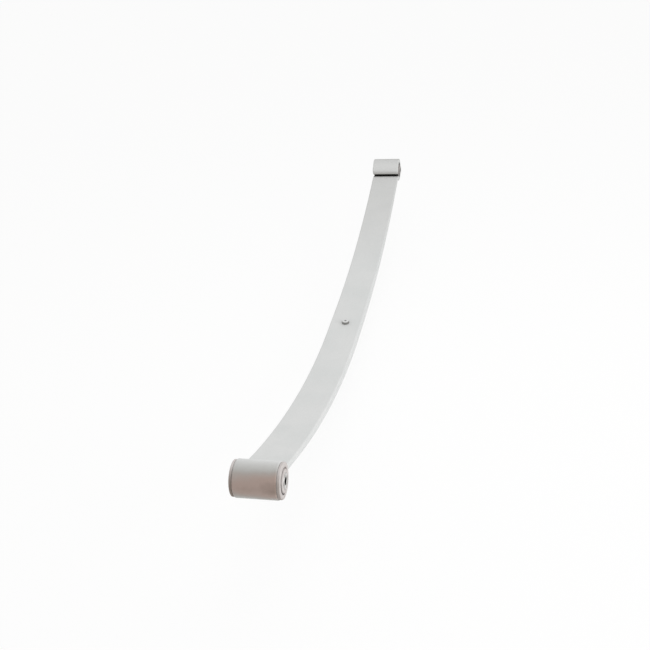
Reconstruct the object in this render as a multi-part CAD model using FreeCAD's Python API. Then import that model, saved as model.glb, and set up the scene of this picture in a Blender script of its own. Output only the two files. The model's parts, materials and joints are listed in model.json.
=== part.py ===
"""Single-leaf suspension spring: one tapered leaf with a rolled eye at each end, its two eye
bushes and its centre bolt.

Frame, in millimetres: X runs along the leaf with the front eye at -X, Y across its width, +Z up
towards the hollow side. The origin is the middle of the upper seat face, on the centre bolt's
axis. The leaf is drawn in its free, unloaded shape.
"""
import FreeCAD
import Part
import math
import os

from FreeCAD import Vector

# Leaf blade
LEAF_WIDTH = 70.0
SEAT_THICKNESS = 19.0        # thickness at the axle seat
EYE_THICKNESS = 11.0         # thickness where the taper ends, and round the eyes
SEAT_LENGTH = 90.0           # flat length clamped to the axle
TAPER_START = 70.0           # distance from the centre bolt where the taper begins
TAPER_END = 620.0            # distance from the centre bolt where the taper ends
LONG_EDGE_BREAK = 1.5        # chamfer that stands for the flat's rolled edges

# Arms, measured from the centre bolt and from the upper seat face to each eye's axis
FRONT_ARM = 700.0
FRONT_EYE_HEIGHT = 134.0
FRONT_END_ANGLE = 21.9       # slope of the leaf at the eye, degrees
FRONT_EYE_OFFSET = -7.5      # eye axis above the leaf's mid-line
REAR_ARM = 700.0
REAR_EYE_HEIGHT = 88.0
REAR_END_ANGLE = 15.0
REAR_EYE_OFFSET = 3.5

# Rolled eyes
FRONT_EYE_BORE = 38.0
REAR_EYE_BORE = 38.0
NECK_RADIUS = 25.0           # mid-line radius of the reverse bend where the roll begins
EYE_STRAIGHT = 4.0           # straight stretch between the arm's curve and that bend
TIP_GAP = 5.5                # opening between the roll's cut tip and the leaf
BLADE_STATIONS = 6           # points that carry each face of an arm from seat to eye

# Centre bolt and nut
BOLT_DIAMETER = 10.0
BOLT_HOLE_CLEARANCE = 0.25   # radial
BOLT_HEAD_DIAMETER = 16.0
BOLT_HEAD_HEIGHT = 6.0
BOLT_HEAD_CHAMFER = 1.0
BOLT_DIMPLE_DIAMETER = 4.0
BOLT_DIMPLE_DEPTH = 1.5
BOLT_END_BEYOND_NUT = 3.0
BOLT_END_CHAMFER = 1.0
NUT_ACROSS_FLATS = 17.0
NUT_HEIGHT = 8.0
NUT_FACE_INSET = 0.4         # from the flats to the flat ring left on each end by the corner cone
NUT_CONE_ANGLE = 30.0        # degrees
NUT_THREAD_CLEARANCE = 0.05
PAD_HOLE_CLEARANCE = 0.5     # radial, pad's hole round the head and plate's round the nut

# Fits of the bushes
PRESS_RELIEF = 0.05          # radial, bush in eye
SLEEVE_CLEARANCE = 0.05      # radial, inner sleeve in rubber

# Front bush: two flanged halves on one thick inner sleeve
FRONT_SLEEVE_DIAMETER = 26.0
EYE_BOLT_BORE = 12.2
FRONT_SHOULDER_STEP = 8.0    # radial, shoulder beyond the eye's bore
FRONT_SHOULDER_LENGTH = 1.2
FRONT_FLANGE_INSET = 1.2     # radial, flange inside the eye's outer face
FRONT_FLANGE_LENGTH = 5.8
FRONT_FLANGE_BREAK = 2.6     # chamfer round the flange's face
FRONT_HALVES_GAP = 0.5       # between the two halves at mid width
FRONT_FACE_GROOVE_WIDTH = 2.45  # radial, from the sleeve's hole
FRONT_FACE_GROOVE_DEPTH = 1.5
FRONT_SLEEVE_STANDOFF = 0.5  # sleeve end beyond the flange face
SLEEVE_END_CHAMFER = 0.8

# Rear bush: steel shell, bonded rubber and inner sleeve
REAR_SHELL_WALL = 1.8
REAR_SHELL_RECESS = 1.0      # shell end inside the leaf's side face
REAR_SHELL_CHAMFER = 0.6
REAR_RUBBER_RECESS = 2.5     # rubber at the shell inside the leaf's side face
REAR_RUBBER_RISE = 4.0       # how much further the rubber reaches at the sleeve
REAR_SLEEVE_DIAMETER = 22.0
REAR_SLEEVE_STANDOFF = 3.5   # sleeve end beyond the leaf's side face

HALF_WIDTH = LEAF_WIDTH / 2
Y_AXIS = Vector(0, 1, 0)
LEFT = -1                    # seen by someone who looks towards the front eye
RIGHT = 1


class Arm:
    """One half of the leaf, in its own plane: u points outboard along X, z up."""

    def __init__(self, side, length, eye_height, end_angle, eye_offset, eye_bore):
        self.side = side
        self.angle = math.radians(end_angle)
        self.along = (math.cos(self.angle), math.sin(self.angle))
        self.normal = (-math.sin(self.angle), math.cos(self.angle))
        self.eye = (length, eye_height)
        self.bore_radius = eye_bore / 2
        self.outer_radius = self.bore_radius + EYE_THICKNESS
        mid_radius = self.bore_radius + EYE_THICKNESS / 2
        self.reach = mid_radius + NECK_RADIUS
        self.neck_drop = NECK_RADIUS + eye_offset
        self.neck_back = math.sqrt(self.reach ** 2 - self.neck_drop ** 2)
        self.blade_end = self.from_eye(-self.neck_back - EYE_STRAIGHT, -eye_offset)
        self.run = self.blade_end[0] - SEAT_LENGTH / 2
        self.rise = self.blade_end[1] + SEAT_THICKNESS / 2
        self.power = math.tan(self.angle) * self.run / self.rise

    def from_eye(self, along, up):
        """Point at a distance along and above the leaf's end direction, from the eye's axis."""
        return (self.eye[0] + along * self.along[0] + up * self.normal[0],
                self.eye[1] + along * self.along[1] + up * self.normal[1])

    def round_eye(self, radius, degrees):
        """Point on a circle about the eye's axis, turned from the leaf's outboard direction."""
        turn = math.radians(degrees)
        return self.from_eye(radius * math.cos(turn), radius * math.sin(turn))

    def round_neck(self, radius, degrees):
        """Point on a circle about the centre of the reverse bend."""
        turn = math.radians(degrees)
        return self.from_eye(-self.neck_back + radius * math.cos(turn),
                             -self.neck_drop + radius * math.sin(turn))

    def half_thickness(self, u):
        """Half of the leaf's thickness, which follows a parabola between seat and eye."""
        share = min(max((u - TAPER_START) / (TAPER_END - TAPER_START), 0.0), 1.0)
        square = SEAT_THICKNESS ** 2 - (SEAT_THICKNESS ** 2 - EYE_THICKNESS ** 2) * share
        return math.sqrt(square) / 2

    def face_point(self, share, up):
        """Point on the leaf's upper (up = 1) or lower (up = -1) face, share of the way out."""
        u = SEAT_LENGTH / 2 + self.run * share
        z = self.rise * share ** self.power - SEAT_THICKNESS / 2
        slope = math.atan(self.rise * self.power * share ** (self.power - 1) / self.run)
        offset = up * self.half_thickness(u)
        return (u - offset * math.sin(slope), z + offset * math.cos(slope))

    def place(self, point):
        """Point of the arm's plane in the part's frame, on the leaf's -Y side."""
        return Vector(self.side * point[0], -HALF_WIDTH, point[1])

    def line(self, start, end):
        return Part.makeLine(self.place(start), self.place(end))

    def arc(self, start, middle, end):
        return Part.Arc(self.place(start), self.place(middle), self.place(end)).toShape()

    def blade_face(self, up):
        """Spline along one face of the arm, tangent to the seat and to the eye's neck."""
        points = []
        for station in range(BLADE_STATIONS + 1):
            points.append(self.place(self.face_point(station / BLADE_STATIONS, up)))
        spline = Part.BSplineCurve()
        start = Vector(self.side, 0, 0)
        end = Vector(self.side * self.along[0], 0, self.along[1])
        spline.interpolate(Points=points, InitialTangent=start, FinalTangent=end)
        return spline.toShape()

    def outline(self):
        """Edges from the upper seat edge out, round the eye and back to the lower seat edge."""
        half = EYE_THICKNESS / 2
        join = 180 + math.degrees(math.asin(self.neck_drop / self.reach))
        tip_reach = NECK_RADIUS + half + TIP_GAP
        cosine = (self.outer_radius ** 2 + self.reach ** 2 - tip_reach ** 2)
        cosine /= 2 * self.outer_radius * self.reach
        tip = join - math.degrees(math.acos(cosine))
        turned = join - 360
        midway = (turned + tip) / 2
        neck_end = join - 180
        neck_mid = (90 + neck_end) / 2
        upper_start = self.round_neck(NECK_RADIUS + half, 90)
        lower_start = self.round_neck(NECK_RADIUS - half, 90)
        inner, outer = self.bore_radius, self.outer_radius
        return [
            self.blade_face(1),
            self.line(self.face_point(1, 1), upper_start),
            self.arc(upper_start, self.round_neck(NECK_RADIUS + half, neck_mid),
                     self.round_eye(inner, join)),
            self.arc(self.round_eye(inner, join), self.round_eye(inner, midway),
                     self.round_eye(inner, tip)),
            self.line(self.round_eye(inner, tip), self.round_eye(outer, tip)),
            self.arc(self.round_eye(outer, tip), self.round_eye(outer, midway),
                     self.round_eye(outer, join)),
            self.arc(self.round_eye(outer, join), self.round_neck(NECK_RADIUS - half, neck_mid),
                     lower_start),
            self.line(lower_start, self.face_point(1, -1)),
            self.blade_face(-1),
        ]

    def eye_axis(self):
        """Point on the eye's axis at mid width, in the part's frame."""
        return Vector(self.side * self.eye[0], 0, self.eye[1])


FRONT = Arm(-1, FRONT_ARM, FRONT_EYE_HEIGHT, FRONT_END_ANGLE, FRONT_EYE_OFFSET, FRONT_EYE_BORE)
REAR = Arm(1, REAR_ARM, REAR_EYE_HEIGHT, REAR_END_ANGLE, REAR_EYE_OFFSET, REAR_EYE_BORE)


def revolved(points, axis_point):
    """Solid of a closed outline of (radius, y) points turned about an axis parallel to Y."""
    outline = [Vector(radius, y, 0) for radius, y in points]
    face = Part.Face(Part.makePolygon(outline + outline[:1]))
    solid = face.revolve(Vector(0, 0, 0), Y_AXIS, 360)
    solid.translate(axis_point)
    return solid


def tube(outer, inner, half_length, chamfer, axis_point):
    """Round sleeve along Y with the outer edge of each end chamfered."""
    end = half_length - chamfer
    return revolved([
        (inner, -half_length), (outer - chamfer, -half_length), (outer, -end), (outer, end),
        (outer - chamfer, half_length), (inner, half_length),
    ], axis_point)


def main_leaf():
    """Tapered spring steel blade with both eyes rolled in one piece, and the bolt hole."""
    half_seat = SEAT_LENGTH / 2
    edges = FRONT.outline() + REAR.outline()
    for z in (0.0, -SEAT_THICKNESS):
        start = Vector(-half_seat, -HALF_WIDTH, z)
        edges.append(Part.makeLine(start, Vector(half_seat, -HALF_WIDTH, z)))
    wire = Part.Wire(Part.__sortEdges__(edges))
    blade = Part.Face(wire).extrude(Vector(0, LEAF_WIDTH, 0))
    long_edges = [edge for edge in blade.Edges if is_side_edge(edge)]
    blade = blade.makeChamfer(LONG_EDGE_BREAK, long_edges)
    hole = BOLT_DIAMETER / 2 + BOLT_HOLE_CLEARANCE
    drill = Part.makeCylinder(hole, 3 * SEAT_THICKNESS, Vector(0, 0, -2 * SEAT_THICKNESS))
    return blade.fuse(seat_prints()).cut(drill)


def seat_prints():
    """Two coaxial discs inside the seat, whose rims mark on its upper face the hole of the axle
    pad round the bolt's head, and on its lower face the hole of the clamp plate round the nut.
    """
    half = SEAT_THICKNESS / 2
    pad = Part.makeCylinder(BOLT_HEAD_DIAMETER / 2 + PAD_HOLE_CLEARANCE, half, Vector(0, 0, -half))
    plate = Part.makeCylinder(NUT_ACROSS_FLATS / math.sqrt(3) + PAD_HOLE_CLEARANCE, half,
                              Vector(0, 0, -SEAT_THICKNESS))
    return [pad, plate]


def is_side_edge(edge):
    """True for an edge that lies in one of the leaf's two side faces."""
    box = edge.BoundBox
    return box.YLength < 0.001 and abs(abs(box.YMin) - HALF_WIDTH) < 0.001


def front_bush_half(side):
    """Flanged rubber half of the front bush, pushed into the eye from one side."""
    bore = FRONT_SLEEVE_DIAMETER / 2 + SLEEVE_CLEARANCE
    barrel = FRONT.bore_radius - PRESS_RELIEF
    shoulder = FRONT.bore_radius + FRONT_SHOULDER_STEP
    flange = FRONT.outer_radius - FRONT_FLANGE_INSET
    groove = bore + FRONT_FACE_GROOVE_WIDTH
    inner_end = FRONT_HALVES_GAP / 2
    back = HALF_WIDTH + FRONT_SHOULDER_LENGTH
    front = back + FRONT_FLANGE_LENGTH
    points = [
        (bore, inner_end), (barrel, inner_end), (barrel, HALF_WIDTH), (shoulder, HALF_WIDTH),
        (shoulder, back), (flange, back), (flange, front - FRONT_FLANGE_BREAK),
        (flange - FRONT_FLANGE_BREAK, front), (groove, front),
        (groove, front - FRONT_FACE_GROOVE_DEPTH), (bore, front - FRONT_FACE_GROOVE_DEPTH),
    ]
    return revolved([(radius, side * y) for radius, y in points], FRONT.eye_axis())


def front_inner_sleeve():
    """Thick steel sleeve that the front eye bolt clamps."""
    flange_face = HALF_WIDTH + FRONT_SHOULDER_LENGTH + FRONT_FLANGE_LENGTH
    return tube(FRONT_SLEEVE_DIAMETER / 2, EYE_BOLT_BORE / 2,
                flange_face + FRONT_SLEEVE_STANDOFF, SLEEVE_END_CHAMFER, FRONT.eye_axis())


def rear_bush_shell():
    """Steel outer shell pressed into the rear eye."""
    outer = REAR.bore_radius - PRESS_RELIEF
    return tube(outer, outer - REAR_SHELL_WALL, HALF_WIDTH - REAR_SHELL_RECESS,
                REAR_SHELL_CHAMFER, REAR.eye_axis())


def rear_bush_rubber():
    """Rubber bonded in the shell, with a coned face at each end that rises to the sleeve."""
    outer = REAR.bore_radius - PRESS_RELIEF - REAR_SHELL_WALL
    inner = REAR_SLEEVE_DIAMETER / 2 + SLEEVE_CLEARANCE
    outer_end = HALF_WIDTH - REAR_RUBBER_RECESS
    inner_end = outer_end + REAR_RUBBER_RISE
    return revolved([
        (inner, -inner_end), (outer, -outer_end), (outer, outer_end), (inner, inner_end),
    ], REAR.eye_axis())


def rear_inner_sleeve():
    """Steel sleeve that the shackle bolt clamps."""
    return tube(REAR_SLEEVE_DIAMETER / 2, EYE_BOLT_BORE / 2, HALF_WIDTH + REAR_SLEEVE_STANDOFF,
                SLEEVE_END_CHAMFER, REAR.eye_axis())


def turned(points):
    """Solid of a closed outline of (radius, z) points turned about the Z axis."""
    outline = [Vector(radius, 0, z) for radius, z in points]
    face = Part.Face(Part.makePolygon(outline + outline[:1]))
    return face.revolve(Vector(0, 0, 0), Vector(0, 0, 1), 360)


def centre_bolt():
    """Round-headed bolt whose head locates the axle pad, with a turned centre in its top."""
    head = BOLT_HEAD_DIAMETER / 2
    shank = BOLT_DIAMETER / 2
    top = BOLT_HEAD_HEIGHT
    end = -SEAT_THICKNESS - NUT_HEIGHT - BOLT_END_BEYOND_NUT
    return turned([
        (0, top - BOLT_DIMPLE_DEPTH), (BOLT_DIMPLE_DIAMETER / 2, top),
        (head - BOLT_HEAD_CHAMFER, top), (head, top - BOLT_HEAD_CHAMFER), (head, 0), (shank, 0),
        (shank, end + BOLT_END_CHAMFER), (shank - BOLT_END_CHAMFER, end), (0, end),
    ])


def centre_nut():
    """Hexagon nut against the leaf's lower face, with both ends turned to a cone."""
    corner = NUT_ACROSS_FLATS / math.sqrt(3)
    bottom = -SEAT_THICKNESS - NUT_HEIGHT
    corners = []
    for index in range(7):
        turn = math.radians(60 * index)
        corners.append(Vector(corner * math.cos(turn), corner * math.sin(turn), bottom))
    prism = Part.Face(Part.makePolygon(corners)).extrude(Vector(0, 0, NUT_HEIGHT))
    land = NUT_ACROSS_FLATS / 2 - NUT_FACE_INSET
    slope = (corner - land) * math.tan(math.radians(NUT_CONE_ANGLE))
    cone = turned([
        (0, bottom), (land, bottom), (corner, bottom + slope), (corner, -SEAT_THICKNESS - slope),
        (land, -SEAT_THICKNESS), (0, -SEAT_THICKNESS),
    ])
    thread = BOLT_DIAMETER / 2 + NUT_THREAD_CLEARANCE
    drill = Part.makeCylinder(thread, 3 * NUT_HEIGHT, Vector(0, 0, bottom - NUT_HEIGHT))
    return prism.common(cone).cut(drill)


def build():
    """All pieces by node name."""
    return {
        "main_leaf": main_leaf(),
        "front_bush_left": front_bush_half(LEFT),
        "front_bush_right": front_bush_half(RIGHT),
        "front_inner_sleeve": front_inner_sleeve(),
        "rear_bush_shell": rear_bush_shell(),
        "rear_bush_rubber": rear_bush_rubber(),
        "rear_inner_sleeve": rear_inner_sleeve(),
        "centre_bolt": centre_bolt(),
        "centre_nut": centre_nut(),
    }


os.makedirs("parts", exist_ok=True)
for name, shape in build().items():
    solid = shape.Solids[0] if len(shape.Solids) == 1 else shape
    if not solid.isValid() or solid.Volume <= 0:
        raise RuntimeError(f"{name} is not a valid solid")
    solid.exportStep(f"parts/{name}.step")
    print(f"{name}: {len(shape.Solids)} solid, {solid.Volume / 1000:.1f} cm3")
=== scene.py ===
"""Looks of a single-leaf suspension spring, built round its packed construction model.

Everything is in metres in the part's own frame: X runs along the leaf with the front eye at -X,
Y across its width and +Z up, out of the hollow side. Each class builds one sub-assembly from the
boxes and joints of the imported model, and dresses it in its finish.
"""

import json
import logging
import math
from collections.abc import Callable, Iterator, Sequence
from dataclasses import dataclass
from enum import Enum

import bmesh
import bpy
from mathutils import Matrix, Vector


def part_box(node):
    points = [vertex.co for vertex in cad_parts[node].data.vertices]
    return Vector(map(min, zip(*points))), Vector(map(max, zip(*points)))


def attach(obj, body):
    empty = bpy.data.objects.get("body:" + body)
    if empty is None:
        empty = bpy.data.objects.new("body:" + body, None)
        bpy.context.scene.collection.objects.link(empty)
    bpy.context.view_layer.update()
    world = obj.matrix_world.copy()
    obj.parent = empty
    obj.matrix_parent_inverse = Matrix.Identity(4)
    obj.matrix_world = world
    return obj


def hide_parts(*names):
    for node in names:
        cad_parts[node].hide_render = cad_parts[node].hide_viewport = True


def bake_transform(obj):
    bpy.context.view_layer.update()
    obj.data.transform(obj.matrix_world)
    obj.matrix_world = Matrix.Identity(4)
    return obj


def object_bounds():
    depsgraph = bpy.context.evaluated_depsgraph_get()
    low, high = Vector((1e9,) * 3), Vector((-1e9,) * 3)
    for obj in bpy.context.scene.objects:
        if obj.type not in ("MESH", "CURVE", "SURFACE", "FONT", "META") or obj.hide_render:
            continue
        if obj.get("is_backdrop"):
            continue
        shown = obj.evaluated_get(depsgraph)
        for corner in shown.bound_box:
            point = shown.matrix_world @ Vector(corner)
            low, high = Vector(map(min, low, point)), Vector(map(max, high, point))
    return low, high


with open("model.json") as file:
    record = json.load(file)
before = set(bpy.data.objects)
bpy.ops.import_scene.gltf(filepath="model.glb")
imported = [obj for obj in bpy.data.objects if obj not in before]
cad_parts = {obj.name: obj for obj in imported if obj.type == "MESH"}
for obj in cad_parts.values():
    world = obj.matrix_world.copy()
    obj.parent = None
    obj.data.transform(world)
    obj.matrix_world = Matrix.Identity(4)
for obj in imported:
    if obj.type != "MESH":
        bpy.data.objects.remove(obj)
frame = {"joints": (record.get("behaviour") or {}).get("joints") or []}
CAD_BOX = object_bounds()

MM = 0.001
SHARP_ANGLE = math.radians(32)
LOG = logging.getLogger("leaf_spring")
WHITE = (1.0, 1.0, 1.0, 1.0)

# Painted shade, grey and then warm brown, is deepest on what faces this way, given as (outboard,
# up); its brown also stands for a painted reflection of brown surroundings. It starts where the
# cosine between a facing and that way is the value below.
SHADE_WAY = Vector((1.0, 0.0))
SHADE_REACH = -0.41

# Where the painted shade, the painted gap shade and the painted bounce light change, as
# (from, to). The first three are shares of a stretch's length, the next two are parts of a normal,
# and the last is the range of the painted shade's strength that shades a rim.
SHADES_ALONG_BLADE = (0.1, 0.9)
GAP_SHADE_ALONG_NECK = (0.1, 0.5)
SHADES_TO_TIP = (0.9, 1.0)
TURNS_OUTWARD = (0.0, 0.6)
BOUNCE_FROM_BELOW = (-0.2, 0.8)
SHADES_ROUND_RIM = (0.1, 0.95)
# A rolled edge counts as facing the way of the face beside it while this part of its normal is
# outward.
LEAST_OUTWARD = 0.1

# A rounded corner gets a point on the flat beside each end of its arc. It lies this many times the
# arc's reach from the corner, it takes at most this share of the flat, and where it would come this
# close to the arc it is left out.
HOLD_REACH = 1.35
HOLD_ROOM = 0.48
HOLD_LEAST = 1.05

Rings = list[list[Vector]]
Outline = list[tuple[float, float]]
Row = tuple[Callable[[float], float], float]
Tones = dict[str, list[float]]


class Ends(Enum):
    """How a skin of rings is closed at its two ends."""

    CAPPED = "capped"
    JOINED = "joined"


class Stretch(Enum):
    """The stretches of one half of the leaf, from the centre bolt outwards."""

    SEAT = "seat"
    BLADE = "blade"
    NECK = "neck"
    ROLL = "roll"


def linear(code: str) -> tuple[float, float, float, float]:
    """Turns an sRGB hex colour into linear RGBA, by the sRGB curve.

    Args:
        code: Colour such as "#c8c8c8".

    Returns:
        Red, green, blue and alpha, from 0 to 1.
    """
    channels = [int(code[place:place + 2], 16) / 255 for place in (1, 3, 5)]
    shares = [c / 12.92 if c <= 0.04045 else ((c + 0.055) / 1.055) ** 2.4 for c in channels]
    return shares[0], shares[1], shares[2], 1.0


def smooth_step(value: float, low: float, high: float) -> float:
    """Rises from 0 at low to 1 at high with level ends."""
    share = min(max((value - low) / (high - low), 0.0), 1.0)
    return share * share * (3 - 2 * share)


def painted_shade(facing: float) -> float:
    """Strength of the painted shade on what faces the shaded way by this cosine, from 0 to 1."""
    return max(facing - SHADE_REACH, 0.0) / (1 - SHADE_REACH)


def joint_place(name: str) -> Vector:
    """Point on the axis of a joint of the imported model."""
    return Vector(next(joint["pos_m"] for joint in frame["joints"] if joint["name"] == name))


# ---------------------------------------------------------------------------------------------
# Meshes


def put_in_scene(name: str, data: bpy.types.ID) -> bpy.types.Object:
    """Makes an object in the scene.

    Args:
        name: Name of the object.
        data: Its mesh, lamp or camera.

    Returns:
        The object, at the origin.
    """
    obj = bpy.data.objects.new(name, data)
    bpy.context.scene.collection.objects.link(obj)
    return obj


def skin(name: str, rings: Rings, ends: Ends, tones: Tones | None = None) -> bpy.types.Object:
    """Makes one closed mesh from rings of points that follow each other.

    Args:
        name: Name of the new object.
        rings: Rings with the same number of points, in order.
        ends: Whether the first and last ring are capped or joined to each other.
        tones: Values from 0 to 1 for each point, ring after ring, stored as attributes.

    Returns:
        The object, with smooth faces and with sharp edges kept sharp.
    """
    count = len(rings[0])
    shape = bmesh.new()
    rows = [[shape.verts.new(point) for point in ring] for ring in rings]
    pairs = list(zip(rows, rows[1:]))
    if ends is Ends.JOINED:
        pairs.append((rows[-1], rows[0]))
    else:
        shape.faces.new(rows[0])
        shape.faces.new(rows[-1])
    for near, far in pairs:
        for place in range(count):
            beside = (place + 1) % count
            shape.faces.new((near[place], near[beside], far[beside], far[place]))
    bmesh.ops.recalc_face_normals(shape, faces=shape.faces)
    mesh = bpy.data.meshes.new(name)
    shape.to_mesh(mesh)
    shape.free()
    for tone, values in (tones or {}).items():
        mesh.attributes.new(tone, "FLOAT", "POINT").data.foreach_set("value", values)
    obj = put_in_scene(name, mesh)
    shade(obj)
    return obj


def shade(obj: bpy.types.Object, sharp_angle: float = SHARP_ANGLE) -> None:
    """Shades a mesh smooth, with its corners kept sharp.

    Args:
        obj: Object whose mesh is shaded.
        sharp_angle: Turn between two faces, in radians, from which their edge stays sharp.
    """
    shape = bmesh.new()
    shape.from_mesh(obj.data)
    for face in shape.faces:
        face.smooth = True
    for edge in shape.edges:
        edge.smooth = edge.calc_face_angle(math.pi) < sharp_angle
    shape.to_mesh(obj.data)
    shape.free()


def cut(obj: bpy.types.Object, tool: bpy.types.Object) -> None:
    """Cuts a tool's shape out of a mesh and removes the tool.

    Args:
        obj: Object that is cut.
        tool: Closed mesh of what is cut away.
    """
    modifier = obj.modifiers.new("cut", "BOOLEAN")
    modifier.object = tool
    modifier.operation = "DIFFERENCE"
    modifier.solver = "EXACT"
    solved = obj.evaluated_get(bpy.context.evaluated_depsgraph_get())
    mesh = bpy.data.meshes.new_from_object(solved)
    obj.modifiers.clear()
    obj.data = mesh
    bpy.data.objects.remove(tool)
    shade(obj)


@dataclass(frozen=True)
class Corner:
    """A corner of a turned outline, in metres.

    Attributes:
        radius: Distance from the axis.
        along: Place along the axis.
        fillet: Radius that rounds the corner, or 0.
    """

    radius: float
    along: float
    fillet: float = 0.0


def rounded(corners: Sequence[Corner], steps: int = 4) -> Outline:
    """Rounds the corners of a closed turned outline.

    Each arc gets a point just before and after it, so that the flats beside it shade flat.

    Args:
        corners: Corners in order round the outline.
        steps: Segments in each arc.

    Returns:
        Points as (radius, along).
    """
    points: Outline = []
    for index, corner in enumerate(corners):
        here = Vector((corner.radius, corner.along))
        before = Vector((corners[index - 1].radius, corners[index - 1].along)) - here
        following = corners[(index + 1) % len(corners)]
        after = Vector((following.radius, following.along)) - here
        if corner.fillet <= 0:
            points.append((here.x, here.y))
            continue
        half_turn = before.angle(after) / 2
        reach = corner.fillet / math.tan(half_turn)
        hold = min(reach * HOLD_REACH, HOLD_ROOM * before.length, HOLD_ROOM * after.length)
        held = hold > reach * HOLD_LEAST
        middle = here + (before.normalized() + after.normalized()).normalized() * (
            corner.fillet / math.sin(half_turn))
        start = here + before.normalized() * reach - middle
        end = here + after.normalized() * reach - middle
        sweep = start.angle_signed(end)
        if held:
            points.append(tuple(here + before.normalized() * hold))
        for step in range(steps + 1):
            spoke = start.copy()
            spoke.rotate(Matrix.Rotation(-sweep * step / steps, 2))
            points.append(tuple(middle + spoke))
        if held:
            points.append(tuple(here + after.normalized() * hold))
    return points


def turns(columns: int) -> list[float]:
    """Angles of the points of a ring, in radians."""
    return [math.tau * column / columns for column in range(columns)]


def per_ring(values: Sequence[float], columns: int) -> list[float]:
    """Gives each point of a ring the ring's value."""
    return [value for value in values for _ in range(columns)]


def across_rings(outline: Outline, axis: Vector, columns: int) -> Rings:
    """Turns an outline about an axis parallel to Y.

    Args:
        outline: Points as (radius, y).
        axis: A point on the axis.
        columns: Points in each ring.

    Returns:
        A ring for each point of the outline.
    """
    return [[Vector((axis.x + radius * math.cos(turn), along, axis.z + radius * math.sin(turn)))
             for turn in turns(columns)] for radius, along in outline]


def upright_rings(rows: Sequence[Row], columns: int) -> Rings:
    """Makes rings about the Z axis.

    Args:
        rows: A radius at each turn, and a height, for each ring.
        columns: Points in each ring.

    Returns:
        A ring for each row.
    """
    return [[Vector((radius(turn) * math.cos(turn), radius(turn) * math.sin(turn), height))
             for turn in turns(columns)] for radius, height in rows]


def settle(piece: bpy.types.Object, material: bpy.types.Material, slot: str, *nodes: str) -> None:
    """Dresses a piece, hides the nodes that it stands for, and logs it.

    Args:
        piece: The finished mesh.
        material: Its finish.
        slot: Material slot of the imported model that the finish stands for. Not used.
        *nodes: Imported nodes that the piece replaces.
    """
    piece.data.materials.clear()
    piece.data.materials.append(material)
    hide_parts(*nodes)
    LOG.info("%s: %d vertices, for %s", piece.name, len(piece.data.vertices), ", ".join(nodes))


# ---------------------------------------------------------------------------------------------
# Finishes


def add_node(tree: bpy.types.NodeTree, kind: str, settings: dict[str, object] | None = None,
             in_order: Sequence[object] = (), **inputs: object) -> bpy.types.Node:
    """Adds a shader node with its settings and its inputs.

    Args:
        tree: Node tree that gets the node.
        kind: Type of the node, without its "ShaderNode" start.
        settings: Properties of the node.
        in_order: Value or output socket for each of the first inputs.
        **inputs: Value or output socket for each input, with "_" for a space in its name.

    Returns:
        The new node.
    """
    node = tree.nodes.new("ShaderNode" + kind)
    for name, value in (settings or {}).items():
        setattr(node, name, value)
    sockets = list(zip(node.inputs, in_order))
    sockets += [(node.inputs[name.replace("_", " ")], value) for name, value in inputs.items()]
    for socket, value in sockets:
        if isinstance(value, bpy.types.NodeSocket):
            tree.links.new(value, socket)
        else:
            socket.default_value = value
    return node


def start_material(name: str) -> tuple[bpy.types.Material, bpy.types.NodeTree]:
    """Makes a material with an empty node tree.

    Args:
        name: Name of the material.

    Returns:
        The material and its node tree.
    """
    material = bpy.data.materials.new(name)
    material.use_nodes = True
    material.node_tree.nodes.clear()
    return material, material.node_tree


def finish_material(tree: bpy.types.NodeTree, shader: bpy.types.Node) -> None:
    """Links a material's last shader node to its output."""
    add_node(tree, "OutputMaterial", Surface=shader.outputs[0])


def per_metre(size_mm: float) -> float:
    """Scale of a pattern whose features are size_mm across, on coordinates in metres."""
    return 1 / (size_mm * MM)


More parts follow.
